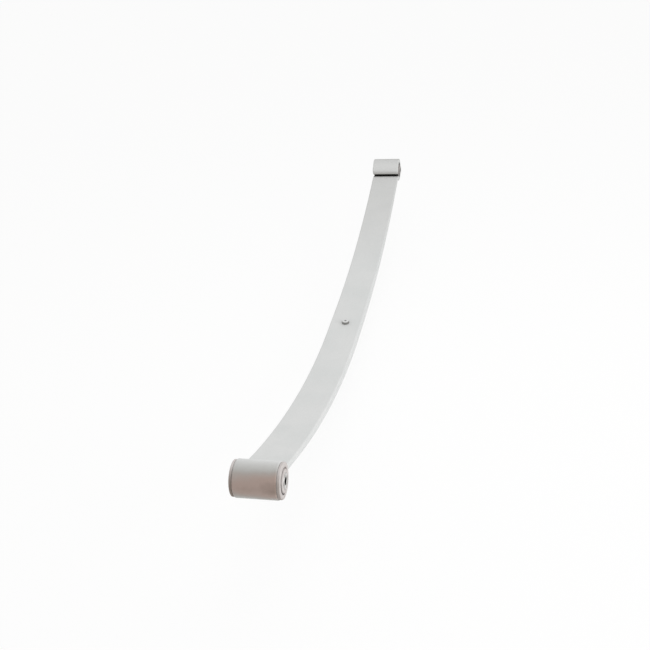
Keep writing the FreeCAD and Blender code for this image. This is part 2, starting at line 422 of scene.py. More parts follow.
@dataclass(frozen=True)
class SprayedLeafPaint:
    """Satin grey alkyd paint, sprayed from the hollow side over shot-peened spring steel.

    It gives the eye an even pale grey with a soft sheen, the dimples of the peening and a faint
    grain. The outer side of the rolled eyes gets painted shade, grey and then warm brown, the brown
    also a painted reflection of brown surroundings, and painted bounce light from below takes some
    of it back. Inside the roll and in the gap at its tip it gets black painted shade. Real dimples
    and grain are about half as coarse, and would be too fine to show.
    """

    paint: str = "#d4d5d4"
    cloud: str = "#cfd1d0"
    shade_grey: str = "#a3a19d"
    shade_brown: str = "#a28f86"
    deep_shade_brown: str = "#7c6b61"
    gap_black: str = "#1d1a19"
    worn_edge: str = "#c6c5c3"
    grain_mm: float = 0.9
    grain_strength: float = 0.06
    peening_mm: float = 1.4
    orange_peel_mm: float = 5.0
    cloud_mm: float = 90.0
    rolling_mark_mm: float = 2.2
    rolling_length_mm: float = 140.0
    mottle_mm: float = 16.0
    mottle_strength: float = 0.05
    roughness: float = 0.42
    ior: float = 1.48

    def material(self) -> bpy.types.Material:
        """Builds the material.

        Returns:
            The material, with its nodes.
        """
        material, tree = start_material("sprayed_grey_paint_on_spring_steel")
        place = add_node(tree, "TexCoord").outputs["Object"]
        cloud = add_node(tree, "TexNoise", Vector=place, Scale=per_metre(self.cloud_mm), Detail=3.0)
        cloud_share = add_node(tree, "MapRange", Value=cloud.outputs[0],
                               From_Min=0.38, From_Max=0.66)
        painted = add_node(tree, "MixRGB", Fac=cloud_share.outputs[0],
                           Color1=linear(self.paint), Color2=linear(self.cloud))
        stretch = (self.rolling_mark_mm / self.rolling_length_mm, 1.0, 1.0)
        drawn = add_node(tree, "Mapping", Vector=place, Scale=stretch)
        marks = add_node(tree, "TexNoise", Vector=drawn.outputs[0],
                         Scale=per_metre(self.rolling_mark_mm), Detail=4.0, Roughness=0.6)
        mark_share = add_node(tree, "MapRange", Value=marks.outputs[0],
                              From_Min=0.35, From_Max=0.75, To_Max=0.2)
        marked = add_node(tree, "MixRGB", Fac=mark_share.outputs[0],
                          Color1=painted.outputs[0], Color2=linear(self.worn_edge))
        # Painted shade on the rolled eyes: grey, then warm brown that also paints a reflection.
        shaded = add_node(tree, "Attribute", {"attribute_name": "painted_shade"}).outputs["Fac"]
        mottle = add_node(tree, "TexNoise", Vector=place, Scale=per_metre(self.mottle_mm),
                          Detail=5.0)
        drift = add_node(tree, "MapRange", Value=mottle.outputs[0], From_Min=0.3, From_Max=0.7,
                         To_Min=1 - self.mottle_strength, To_Max=1 + self.mottle_strength)
        ragged = add_node(tree, "Math", {"operation": "MULTIPLY"}, (shaded, drift.outputs[0]))
        grey_share = add_node(tree, "MapRange", Value=ragged.outputs[0],
                              From_Min=0.04, From_Max=0.72)
        shade_grey = add_node(tree, "MixRGB", Fac=grey_share.outputs[0],
                          Color1=marked.outputs[0], Color2=linear(self.shade_grey))
        brown_share = add_node(tree, "MapRange", {"interpolation_type": "SMOOTHSTEP"},
                              Value=ragged.outputs[0], From_Min=0.56, From_Max=1.0)
        shade_browned = add_node(tree, "MixRGB", Fac=brown_share.outputs[0],
                           Color1=shade_grey.outputs[0], Color2=linear(self.shade_brown))
        # Darkest brown where the painted shade is pushed past 1 towards the -Y end of an eye.
        deep_shade_share = add_node(tree, "MapRange", Value=ragged.outputs[0],
                                From_Min=1.0, From_Max=1.3)
        rubbed_and_deep_shade = add_node(tree, "MixRGB", Fac=deep_shade_share.outputs[0],
                          Color1=shade_browned.outputs[0], Color2=linear(self.deep_shade_brown))
        # Black painted shade of the gap inside the roll.
        gap_shade = add_node(tree, "Attribute", {"attribute_name": "painted_gap_shade"}).outputs["Fac"]
        grain = add_node(tree, "TexNoise", Vector=place, Scale=per_metre(self.grain_mm), Detail=3.0)
        strength = add_node(tree, "MapRange", Value=grain.outputs[0], From_Min=0.35, From_Max=0.65,
                            To_Min=1 - self.grain_strength, To_Max=1 + self.grain_strength)
        grained = add_node(tree, "HueSaturation", Color=rubbed_and_deep_shade.outputs[0],
                           Value=strength.outputs[0])
        colour = add_node(tree, "MixRGB", Fac=gap_shade,
                          Color1=grained.outputs[0], Color2=linear(self.gap_black))
        peening = add_node(tree, "TexVoronoi", {"feature": "SMOOTH_F1"}, Vector=place,
                           Scale=per_metre(self.peening_mm), Smoothness=0.6)
        dimples = add_node(tree, "Bump", Height=peening.outputs["Distance"],
                           Strength=0.5, Distance=0.07 * MM)
        peel = add_node(tree, "TexNoise", Vector=place, Scale=per_metre(self.orange_peel_mm))
        relief = add_node(tree, "Bump", Height=peel.outputs[0], Strength=0.6, Distance=0.2 * MM,
                          Normal=dimples.outputs[0])
        gloss = add_node(tree, "MapRange", Value=mottle.outputs[0], From_Min=0.3, From_Max=0.7,
                         To_Min=self.roughness - 0.05, To_Max=self.roughness + 0.07)
        shader = add_node(tree, "BsdfPrincipled", Base_Color=colour.outputs[0],
                          Roughness=gloss.outputs[0], Normal=relief.outputs[0], IOR=self.ior)
        finish_material(tree, shader)
        return material


@dataclass(frozen=True)
class MouldedBushRubber:
    """Moulded natural rubber under a dry mist of the leaf's grey paint.

    It gives the eye a matt warm pale grey on the faces, a browner grey on one side of the rim,
    as painted shade, and dark rubber in the groove, as painted shade there. The specks of the mist
    are drawn a few times as coarse as real ones, which would be too fine to show.
    """

    mist: str = "#c9c3c1"
    dull: str = "#b9b2af"
    shaded_rim: str = "#7f7269"
    rubber: str = "#5d5653"
    speck_mm: float = 0.9
    cloud_mm: float = 14.0
    roughness: float = 0.62
    ior: float = 1.5

    def material(self) -> bpy.types.Material:
        """Builds the material.

        Returns:
            The material, with its nodes.
        """
        material, tree = start_material("moulded_rubber_under_paint_mist")
        place = add_node(tree, "TexCoord").outputs["Object"]
        cloud = add_node(tree, "TexNoise", Vector=place, Scale=per_metre(self.cloud_mm), Detail=4.0)
        share = add_node(tree, "MapRange", Value=cloud.outputs[0], From_Min=0.35, From_Max=0.7)
        misted = add_node(tree, "MixRGB", Fac=share.outputs[0],
                          Color1=linear(self.mist), Color2=linear(self.dull))
        # Painted shade in brown grey on one side of the flange's rim.
        shaded = add_node(tree, "Attribute", {"attribute_name": "painted_shade"}).outputs["Fac"]
        shade_browned = add_node(tree, "MixRGB", Fac=shaded,
                           Color1=misted.outputs[0], Color2=linear(self.shaded_rim))
        # Dark rubber in the groove and over the rear rubber, as painted shade.
        dark_rubber_shade = add_node(tree, "Attribute", {"attribute_name": "dark_rubber_shade"}).outputs["Fac"]
        colour = add_node(tree, "MixRGB", Fac=dark_rubber_shade,
                          Color1=shade_browned.outputs[0], Color2=linear(self.rubber))
        specks = add_node(tree, "TexNoise", Vector=place, Scale=per_metre(self.speck_mm),
                          Detail=3.0)
        relief = add_node(tree, "Bump", Height=specks.outputs[0], Strength=0.5,
                          Distance=0.06 * MM)
        shader = add_node(tree, "BsdfPrincipled", Base_Color=colour.outputs[0],
                          Roughness=self.roughness, Normal=relief.outputs[0], IOR=self.ior)
        finish_material(tree, shader)
        return material


@dataclass(frozen=True)
class ZincPlatedTube:
    """Turned steel tube with a clear zinc plating.

    It gives the eye a soft silver with tool marks that run round the tube, twice as coarse as a
    lathe's finishing feed so that they show. The bore gets a dark colour, as painted shade of the
    deep hole.
    """

    zinc: str = "#bdbbb9"
    stain: str = "#9c9996"
    bore_shade_dark: str = "#2b2826"
    tool_mark_mm: float = 0.35
    tool_mark_length_mm: float = 17.5
    stain_mm: float = 7.0
    roughness: float = 0.36

    def material(self) -> bpy.types.Material:
        """Builds the material.

        Returns:
            The material, with its nodes.
        """
        material, tree = start_material("turned_zinc_plated_steel")
        place = add_node(tree, "TexCoord").outputs["Object"]
        stain = add_node(tree, "TexNoise", Vector=place, Scale=per_metre(self.stain_mm), Detail=5.0)
        share = add_node(tree, "MapRange", Value=stain.outputs[0], From_Min=0.45, From_Max=0.75)
        plated = add_node(tree, "MixRGB", Fac=share.outputs[0],
                          Color1=linear(self.zinc), Color2=linear(self.stain))
        # Dark colour in the bore, as painted shade; the rear shell takes some of it all over.
        bore = add_node(tree, "Attribute", {"attribute_name": "in_bore"}).outputs["Fac"]
        colour = add_node(tree, "MixRGB", Fac=bore,
                          Color1=plated.outputs[0], Color2=linear(self.bore_shade_dark))
        along = self.tool_mark_mm / self.tool_mark_length_mm
        drawn = add_node(tree, "Mapping", Vector=place, Scale=(along, 1.0, along))
        marks = add_node(tree, "TexNoise", Vector=drawn.outputs[0],
                         Scale=per_metre(self.tool_mark_mm), Detail=2.0)
        relief = add_node(tree, "Bump", Height=marks.outputs[0], Strength=0.4,
                          Distance=0.02 * MM)
        gloss = add_node(tree, "MapRange", Value=stain.outputs[0], From_Min=0.35, From_Max=0.75,
                         To_Min=self.roughness - 0.06, To_Max=self.roughness + 0.14)
        shader = add_node(tree, "BsdfPrincipled", Base_Color=colour.outputs[0], Metallic=1.0,
                          Roughness=gloss.outputs[0], Normal=relief.outputs[0])
        finish_material(tree, shader)
        return material


@dataclass(frozen=True)
class PhosphatedFastener:
    """Cold-forged steel with a grey zinc phosphate, misted with leaf paint where it faces up.

    It gives the eye a dull grey side and thread under a pale grey top. The dark side and dimple of
    the bolt's head also stand for their shade, as painted shade. The grain is drawn far coarser
    than phosphate crystals, which would be too fine to show.
    """

    phosphate: str = "#82817f"
    rubbed_and_deep_shade: str = "#989693"
    mist: str = "#d2d3d2"
    grain_mm: float = 0.5
    cloud_mm: float = 5.0
    roughness: float = 0.55

    def material(self) -> bpy.types.Material:
        """Builds the material.

        Returns:
            The material, with its nodes.
        """
        material, tree = start_material("phosphated_steel_under_paint_mist")
        place = add_node(tree, "TexCoord").outputs["Object"]
        cloud = add_node(tree, "TexNoise", Vector=place, Scale=per_metre(self.cloud_mm), Detail=4.0)
        share = add_node(tree, "MapRange", Value=cloud.outputs[0], From_Min=0.4, From_Max=0.75)
        steel = add_node(tree, "MixRGB", Fac=share.outputs[0],
                         Color1=linear(self.phosphate), Color2=linear(self.rubbed_and_deep_shade))
        # Pale mist on the top of the bolt's head; the dark rest of the head also paints its shade.
        misted = add_node(tree, "Attribute", {"attribute_name": "misted"}).outputs["Fac"]
        colour = add_node(tree, "MixRGB", Fac=misted,
                          Color1=steel.outputs[0], Color2=linear(self.mist))
        grain = add_node(tree, "TexNoise", Vector=place, Scale=per_metre(self.grain_mm), Detail=2.0)
        relief = add_node(tree, "Bump", Height=grain.outputs[0], Strength=0.4, Distance=0.03 * MM)
        metal = add_node(tree, "MapRange", Value=misted, To_Min=0.4, To_Max=0.0)
        shader = add_node(tree, "BsdfPrincipled", Base_Color=colour.outputs[0],
                          Metallic=metal.outputs[0], Roughness=self.roughness,
                          Normal=relief.outputs[0])
        finish_material(tree, shader)
        return material


def seen_directly(tree: bpy.types.NodeTree) -> bpy.types.NodeSocket:
    """Tells the rays that show a surface from those that only bounce light off it.

    Args:
        tree: Node tree that gets the nodes.

    Returns:
        Socket that is 1 for camera, glossy and transmission rays, and 0 for others.
    """
    path = add_node(tree, "LightPath")
    total = path.outputs["Is Camera Ray"]
    for name in ("Is Glossy Ray", "Is Transmission Ray"):
        either = add_node(tree, "Math", {"operation": "MAXIMUM"}, (total, path.outputs[name]))
        total = either.outputs[0]
    return total


@dataclass(frozen=True)
class MattPaperFloor:
    """Matt white studio paper, shown as white apart from the soft shadows that lie on it."""

    paper: str = "#f6f6f5"
    shown_white: float = 0.88

    def material(self) -> bpy.types.Material:
        """Builds the material.

        Returns:
            The material, with its nodes.
        """
        material, tree = start_material("matt_white_studio_paper")
        lit = add_node(tree, "BsdfDiffuse", Color=linear(self.paper))
        white = add_node(tree, "Emission", Color=WHITE, Strength=1.0)
        share = add_node(tree, "Math", {"operation": "MULTIPLY"},
                         (seen_directly(tree), self.shown_white))
        shader = add_node(tree, "MixShader",
                          in_order=(share.outputs[0], lit.outputs[0], white.outputs[0]))
        finish_material(tree, shader)
        return material


# ---------------------------------------------------------------------------------------------
# The leaf


@dataclass(frozen=True)
class Station:
    """A cross-section's place on the middle line of one half of the leaf.

    Attributes:
        out: Distance outboard of the centre bolt.
        up: Height.
        lean: Direction from the lower to the upper face, as (out, up).
        half: Half of the leaf's thickness.
        stretch: Stretch of the half that it belongs to.
        share: How far along that stretch it lies, from 0 to 1.
        inset: How far the section is drawn in all round, near the roll's cut tip.
    """

    out: float
    up: float
    lean: tuple[float, float]
    half: float
    stretch: Stretch
    share: float
    inset: float = 0.0


@dataclass
class LeafHalf:
    """One half of the tapered leaf, with its rolled eye, as one closed mesh.

    Attributes:
        name: Name of the piece.
        side: -1 for the front half and 1 for the rear half.
        body: Body that the eye moves with. Not used.
        eye_joint: Joint on whose axis the eye lies.
        end_angle: Slope of the leaf at its eye, in degrees.
        eye_offset: How far below the eye's axis the leaf's middle line meets the neck.
        eye_straight: Length of the flat end of the blade, before the neck.
        tip_gap: Gap between the roll's cut tip and the leaf.
        edge_across: Width of the rolled edges.
        edge_down: Depth of the rolled edges.
        edge_least: Least width and depth that they have near the cut tip.
        edge_hold: Distance from an edge to the points that keep the face beside it flat.
        roll_edge_share: How large the edges are on the roll, as a share of those on the blade.
        bend_margin: Distance from the blade's end at which the half moves wholly with its eye. Not
            used.
        end_darkening: How much deeper the painted shade is made towards the -Y end of an eye.
        notch_shade: How deep the painted shade is on the roll next to its cut tip.
        painted_bounce_light: Share of the painted shade that painted bounce light from below takes
            back.
        far_end_shade: Painted shade laid over the blade's end, the neck and the whole roll.
    """

    name: str
    side: int
    body: str
    eye_joint: str
    end_angle: float
    eye_offset: float
    eye_thickness: float = 11.0 * MM
    eye_bore: float = 38.0 * MM
    seat_length: float = 90.0 * MM
    taper_start: float = 70.0 * MM
    taper_end: float = 620.0 * MM
    neck_radius: float = 25.0 * MM
    eye_straight: float = 4.0 * MM
    tip_gap: float = 5.5 * MM
    edge_across: float = 2.8 * MM
    edge_down: float = 3.8 * MM
    edge_least: float = 0.4 * MM
    edge_hold: float = 1.2 * MM
    roll_edge_share: float = 0.65
    tip_rounding: float = 1.6 * MM
    bolt_hole: float = 10.5 * MM
    drill_columns: int = 46  # Not a multiple of 4, so no corner of the drill lies in the end plane.
    bend_margin: float = 8.0 * MM
    seat_steps: int = 4
    blade_steps: int = 150
    neck_steps: int = 18
    roll_steps: int = 84
    tip_steps: int = 4
    edge_steps: int = 5
    end_darkening: float = 0.16
    notch_shade: float = 0.62
    painted_bounce_light: float = 0.4
    far_end_shade: float = 0.0

    def __post_init__(self) -> None:
        """Works out the arm's curve, the neck and the angles of the roll."""
        low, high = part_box("main_leaf")
        self.half_width: float = high.y
        self.seat_thickness: float = -low.z
        self.angle: float = math.radians(self.end_angle)
        eye = joint_place(self.eye_joint)
        self.eye: tuple[float, float] = (abs(eye.x), eye.z)
        self.mid_radius: float = (self.eye_bore + self.eye_thickness) / 2
        # The neck's arc touches the blade's flat end and the roll, on their middle lines.
        reach = self.mid_radius + self.neck_radius
        self.neck_drop: float = self.neck_radius + self.eye_offset
        self.neck_back: float = math.sqrt(reach ** 2 - self.neck_drop ** 2)
        # The blade's middle line is a power curve, level at the seat, that ends at end_angle.
        blade_end = self.from_eye(-self.neck_back - self.eye_straight, -self.eye_offset)
        self.run: float = blade_end[0] - self.seat_length / 2
        self.rise: float = blade_end[1] + self.seat_thickness / 2
        self.power: float = math.tan(self.angle) * self.run / self.rise
        # The roll's outer corner ends where it is tip_gap away from the neck's upper face.
        outer = self.eye_bore / 2 + self.eye_thickness
        tip_reach = self.neck_radius + self.eye_thickness / 2 + self.tip_gap
        self.join: float = math.pi + math.asin(self.neck_drop / reach)
        cosine = (outer ** 2 + reach ** 2 - tip_reach ** 2) / (2 * outer * reach)
        self.tip: float = self.join - math.acos(cosine)

    def from_eye(self, along: float, up: float) -> tuple[float, float]:
        """Point at a distance along and above the leaf's end direction, from the eye's axis."""
        cosine, sine = math.cos(self.angle), math.sin(self.angle)
        return (self.eye[0] + along * cosine - up * sine, self.eye[1] + along * sine + up * cosine)

    def turned(self, turn: float) -> tuple[float, float]:
        """Direction at an angle from the leaf's outboard direction."""
        return math.cos(turn + self.angle), math.sin(turn + self.angle)

    def thickness(self, out: float) -> float:
        """Thickness of the leaf, which follows a parabola between its seat and its eye.

        Args:
            out: Distance outboard of the centre bolt.

        Returns:
            The thickness.
        """
        share = min(max((out - self.taper_start) / (self.taper_end - self.taper_start), 0.0), 1.0)
        thick, thin = self.seat_thickness ** 2, self.eye_thickness ** 2
        return math.sqrt(thick - (thick - thin) * share)

    def stations(self) -> Iterator[Station]:
        """Works out the cross-sections.

        Returns:
            Each one in turn, from the centre bolt's plane to the roll's cut tip.
        """
        half_seat = self.seat_length / 2
        for step in range(self.seat_steps):
            share = step / self.seat_steps
            yield Station(half_seat * share, -self.seat_thickness / 2, (0.0, 1.0),
                          self.seat_thickness / 2, Stretch.SEAT, share)
        for step in range(self.blade_steps + 1):
            share = step / self.blade_steps
            out = half_seat + self.run * share
            up = self.rise * share ** self.power - self.seat_thickness / 2
            slope = math.atan(self.rise * self.power * share ** (self.power - 1) / self.run)
            yield Station(out, up, (-math.sin(slope), math.cos(slope)),
                          self.thickness(out) / 2, Stretch.BLADE, share)
        half = self.eye_thickness / 2
        neck = self.from_eye(-self.neck_back, -self.neck_drop)
        neck_end = self.join - math.pi
        for step in range(self.neck_steps + 1):
            share = step / self.neck_steps
            lean = self.turned(math.pi / 2 + (neck_end - math.pi / 2) * share)
            yield Station(neck[0] + self.neck_radius * lean[0],
                          neck[1] + self.neck_radius * lean[1], lean, half, Stretch.NECK, share)
        start = self.join - math.tau
        rounding = self.tip_rounding / self.mid_radius
        places = [(start + (self.tip - rounding - start) * step / self.roll_steps, 0.0)
                  for step in range(1, self.roll_steps + 1)]
        for step in range(1, self.tip_steps + 1):
            swing = math.pi / 2 * step / self.tip_steps
            places.append((self.tip - rounding * (1 - math.sin(swing)),
                           self.tip_rounding * (1 - math.cos(swing))))
        for turn, inset in places:
            spoke = self.turned(turn)
            yield Station(self.eye[0] + self.mid_radius * spoke[0],
                          self.eye[1] + self.mid_radius * spoke[1], (-spoke[0], -spoke[1]),
                          half, Stretch.ROLL, (turn - start) / (self.tip - start), inset)

    def section(self, station: Station) -> list[tuple[float, float, float]]:
        """Points round a cross-section with rolled edges.

        Args:
            station: Where the section lies.

        Returns:
            For each point its place across and up the section, and its normal's upward part.
        """
        wide = self.half_width - station.inset
        half = station.half - station.inset
        crisp = 1.0 if station.stretch is Stretch.ROLL else 0.0
        if station.stretch is Stretch.NECK:
            crisp = smooth_step(station.share, 0.0, 1.0)
        edge = 1 - (1 - self.roll_edge_share) * crisp
        across = max(self.edge_across * edge - station.inset, self.edge_least)
        down = max(self.edge_down * edge - station.inset, self.edge_least)
        points: list[tuple[float, float, float]] = []
        for quarter, (sign_y, sign_n) in enumerate(((1, 1), (-1, 1), (-1, -1), (1, -1))):
            arc = []
            for step in range(self.edge_steps + 1):
                swing = math.pi / 2 * step / self.edge_steps
                arc.append((sign_y * (wide - across * (1 - math.sin(swing))),
                            sign_n * (half - down * (1 - math.cos(swing))),
                            sign_n * math.cos(swing)))
            arc.insert(0, (sign_y * (wide - across - self.edge_hold), sign_n * half,
                           float(sign_n)))
            points += arc[::-1] if quarter % 2 == 0 else arc
        return points

    def tones(self, station: Station, across: float, over: float) -> tuple[float, float]:
        """Painted shade, and black painted shade of the gap, at a point of a cross-section.

        Args:
            station: Where the section lies.
            across: The point's place across the leaf.
            over: Part of the point's normal that faces the upper side of the leaf.

        Returns:
            Painted shade, from 0 to 1 and above 1 where it is deepened further, and black painted
            shade of the gap, from 0 to 1.
        """
        shaded, gap_shade = 0.0, 0.0
        if station.stretch is Stretch.BLADE:
            # Painted shade towards the blade's end.
            shaded = self.far_end_shade * smooth_step(station.share, *SHADES_ALONG_BLADE)
        elif station.stretch is Stretch.ROLL:
            # Painted shade by facing, deeper towards the -Y end.
            facing = over * (station.lean[0] * SHADE_WAY.x + station.lean[1] * SHADE_WAY.y)
            shaded = painted_shade(facing / max(-over, LEAST_OUTWARD))
            shaded *= smooth_step(-over, *TURNS_OUTWARD)
            shaded *= 1 + self.end_darkening * smooth_step(-across, 0.0, self.half_width)
            # Painted bounce light from below takes back part of the painted shade.
            below = smooth_step(-over * station.lean[1], *BOUNCE_FROM_BELOW)
            shaded *= 1 - self.painted_bounce_light * below
            # Painted shade next to the cut tip.
            notch = self.notch_shade * smooth_step(station.share, *SHADES_TO_TIP)
            shaded = max(shaded, notch, self.far_end_shade)
            # Black painted shade inside the roll and on the tip's edge.
            gap_shade = max(math.sqrt(max(over, 0.0)),
                       smooth_step(station.inset, 0.0, self.tip_rounding))
        elif station.stretch is Stretch.NECK:
            # Painted shade over the whole neck.
            shaded = self.far_end_shade
            # Black painted shade of the gap, growing along the neck.
            gap_shade = smooth_step(station.share, *GAP_SHADE_ALONG_NECK) * max(over, 0.0)
        return shaded, gap_shade

    def build(self, paint: bpy.types.Material) -> bpy.types.Object:
        """Builds the half and cuts its share of the bolt's hole.

        Args:
            paint: Its finish.

        Returns:
            The piece.
        """
        rings: Rings = []
        tones: Tones = {"painted_shade": [], "painted_gap_shade": []}
        for station in self.stations():
            ring = []
            for across, over, normal_over in self.section(station):
                ring.append(Vector((self.side * (station.out + over * station.lean[0]),
                                    across, station.up + over * station.lean[1])))
                shaded, gap_shade = self.tones(station, across, normal_over)
                tones["painted_shade"].append(shaded)
                tones["painted_gap_shade"].append(gap_shade)
            rings.append(ring)
        half = skin(self.name, rings, Ends.CAPPED, tones)
        hole = self.bolt_hole / 2
        # The drill stands out of both faces by half the seat's thickness.
        rows: list[Row] = [(lambda turn: hole, height) for height in
                           (-1.5 * self.seat_thickness, 0.5 * self.seat_thickness)]
        cut(half, skin("bolt_drill", upright_rings(rows, self.drill_columns), Ends.CAPPED))
        settle(half, paint, "leaf_paint", "main_leaf")
        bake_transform(half)
        return half


# ---------------------------------------------------------------------------------------------
# Bushes


@dataclass
class RoundNode:
    """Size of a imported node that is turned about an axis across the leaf."""

    node: str

    def __post_init__(self) -> None:
        """Reads the node's box."""
        low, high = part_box(self.node)
        self.axis: Vector = (low + high) / 2
        self.radius: float = (high.x - low.x) / 2
        self.low: float = low.y
        self.high: float = high.y


@dataclass
class FlangedBushHalf:
    """Rubber half of the front bush: barrel, shoulder, and a flange round a raised, grooved hub.

    Places along the axis are measured from the leaf's side.

    Attributes:
        lip_height: How far the flange's face rises before the groove's outer wall.
        groove_taper: How much narrower the groove is at its bottom.
        groove_shade: How dark the groove is painted all round, as painted shade.
        groove_shadow: How much darker it is painted on the side where the painted shade is deepest.
        shade_overlap: How far that shade reaches over the groove's lip.
        shade_fade: Distance over which it fades across the lip.
        hub_clear: Depth below the hub's face from which the hub's side is shaded.
        hub_fade: Distance over which it fades there.
        shade_turn: Turn about the axis where the painted shade is deepest.
        rim_shade: How deep the painted shade is there on the rim, from 0 to 1.
    """

    node: str
    barrel_radius: float = 18.95 * MM
    barrel_rounding: float = 1.2 * MM
    shoulder_radius: float = 27.8 * MM
    sleeve_hole: float = 13.05 * MM
    flange_back: float = 0.4 * MM
    flange_front: float = 4.6 * MM
    back_rounding: float = 0.5 * MM
    rim_rounding: float = 1.1 * MM
    lip_height: float = 0.8 * MM
    lip_rounding: float = 0.6 * MM
    groove_outer: float = 21.5 * MM
    groove_inner: float = 18.6 * MM
    groove_taper: float = 0.6 * MM
    groove_bottom: float = 2.4 * MM
    hub_rounding: float = 1.6 * MM
    hole_rounding: float = 0.4 * MM
    small_rounding: float = 0.3 * MM
    groove_shade: float = 0.15
    groove_shadow: float = 0.6
    shade_overlap: float = 0.3 * MM
    shade_fade: float = 1.0 * MM
    hub_clear: float = 1.0 * MM
    hub_fade: float = 1.5 * MM
    shade_turn: float = math.radians(200)
    rim_shade: float = 1.0
    columns: int = 128

    def build(self, rubber: bpy.types.Material) -> bpy.types.Object:
        """Builds the half on the side of the leaf where its node lies.

        Args:
            rubber: Its finish.

        Returns:
            The piece.
        """
        cad = RoundNode(self.node)
        side = 1 if cad.high > -cad.low else -1
        hub_front = max(cad.high, -cad.low)
        inner = min(abs(cad.high), abs(cad.low))
        leaf_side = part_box("main_leaf")[1].y
        back, front = leaf_side + self.flange_back, leaf_side + self.flange_front
        bottom = leaf_side + self.groove_bottom
        small = self.small_rounding
        corners = [
            Corner(self.sleeve_hole, inner, small),
            Corner(self.barrel_radius, inner, self.barrel_rounding),
            Corner(self.barrel_radius, leaf_side, small),
            Corner(self.shoulder_radius, leaf_side, small),
            Corner(self.shoulder_radius, back, small),
            Corner(cad.radius, back, self.back_rounding),
            Corner(cad.radius, front, self.rim_rounding),
            Corner(self.groove_outer, front + self.lip_height, self.lip_rounding),
            Corner(self.groove_outer - self.groove_taper, bottom, small),
            Corner(self.groove_inner, bottom, small),
            Corner(self.groove_inner, hub_front, self.hub_rounding),
            Corner(self.sleeve_hole, hub_front, self.hole_rounding),
        ]
        outline = rounded(corners)
        dark_rubber_shade: list[float] = []
        shaded: list[float] = []
        for radius, along in outline:
            # Painted shade: dark in the groove, deeper on one side, and brown grey on that side of
            # the rim.
            groove = smooth_step(self.groove_outer + self.shade_overlap - radius,
                                 0.0, self.shade_fade)
            groove *= smooth_step(hub_front - self.hub_clear - along, 0.0, self.hub_fade)
            rim = smooth_step(radius, cad.radius - 2 * self.rim_rounding, cad.radius)
            for turn in turns(self.columns):
                shadow = painted_shade(math.cos(turn - self.shade_turn))
                shaded.append(self.rim_shade * rim * smooth_step(shadow, *SHADES_ROUND_RIM))
                dark_rubber_shade.append(groove * (self.groove_shade + self.groove_shadow * shadow))
        rings = across_rings([(radius, side * along) for radius, along in outline],
                             cad.axis, self.columns)
        half = skin(self.node + "_moulding", rings, Ends.JOINED,
                    {"dark_rubber_shade": dark_rubber_shade, "painted_shade": shaded})
        settle(half, rubber, "bush_rubber", self.node)
        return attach(half, "front_eye")


@dataclass
class InnerSleeve:
    """Thick steel sleeve with serrated ends, which an eye bolt clamps."""

    node: str
    body: str
    bore: float = 12.2 * MM
    outer_chamfer: float = 0.8 * MM
    outer_rounding: float = 0.15 * MM
    bore_chamfer: float = 0.5 * MM
    bore_rounding: float = 0.1 * MM
    serrations: int = 36
    serration_depth: float = 0.35 * MM
    face_tolerance: float = 0.02 * MM
    columns: int = 144

    def build(self, zinc: bpy.types.Material) -> bpy.types.Object:
        """Builds the sleeve with radial serrations in both end faces.

        Args:
            zinc: Its finish.

        Returns:
            The piece.
        """
        cad = RoundNode(self.node)
        end = cad.high
        bore = self.bore / 2
        half_outline = [
            Corner(bore, end - self.bore_chamfer, self.bore_rounding),
            Corner(bore + self.bore_chamfer, end, self.bore_rounding),
            Corner(cad.radius - self.outer_chamfer, end, self.outer_rounding),
            Corner(cad.radius, end - self.outer_chamfer, self.outer_rounding),
        ]
        other = [Corner(c.radius, -c.along, c.fillet) for c in reversed(half_outline)]
        outline = rounded(half_outline + other, steps=2)
        rings = across_rings(outline, cad.axis, self.columns)
        per_tooth = self.columns // self.serrations
        for (radius, along), ring in zip(outline, rings):
            if abs(along) > end - self.face_tolerance:
                for column, point in enumerate(ring):
                    if column % per_tooth == 0:
                        point.y -= math.copysign(self.serration_depth, along)
        # The bore gets the dark colour, as painted shade of the deep hole.
        middle = (cad.radius + bore) / 2
        in_bore = [float(abs(along) < end - self.bore_chamfer and radius < middle)
                   for radius, along in outline]
        sleeve = skin(self.node + "_tube", rings, Ends.JOINED,
                      {"in_bore": per_ring(in_bore, self.columns)})
        settle(sleeve, zinc, "sleeve_steel", self.node)
        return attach(sleeve, self.body)


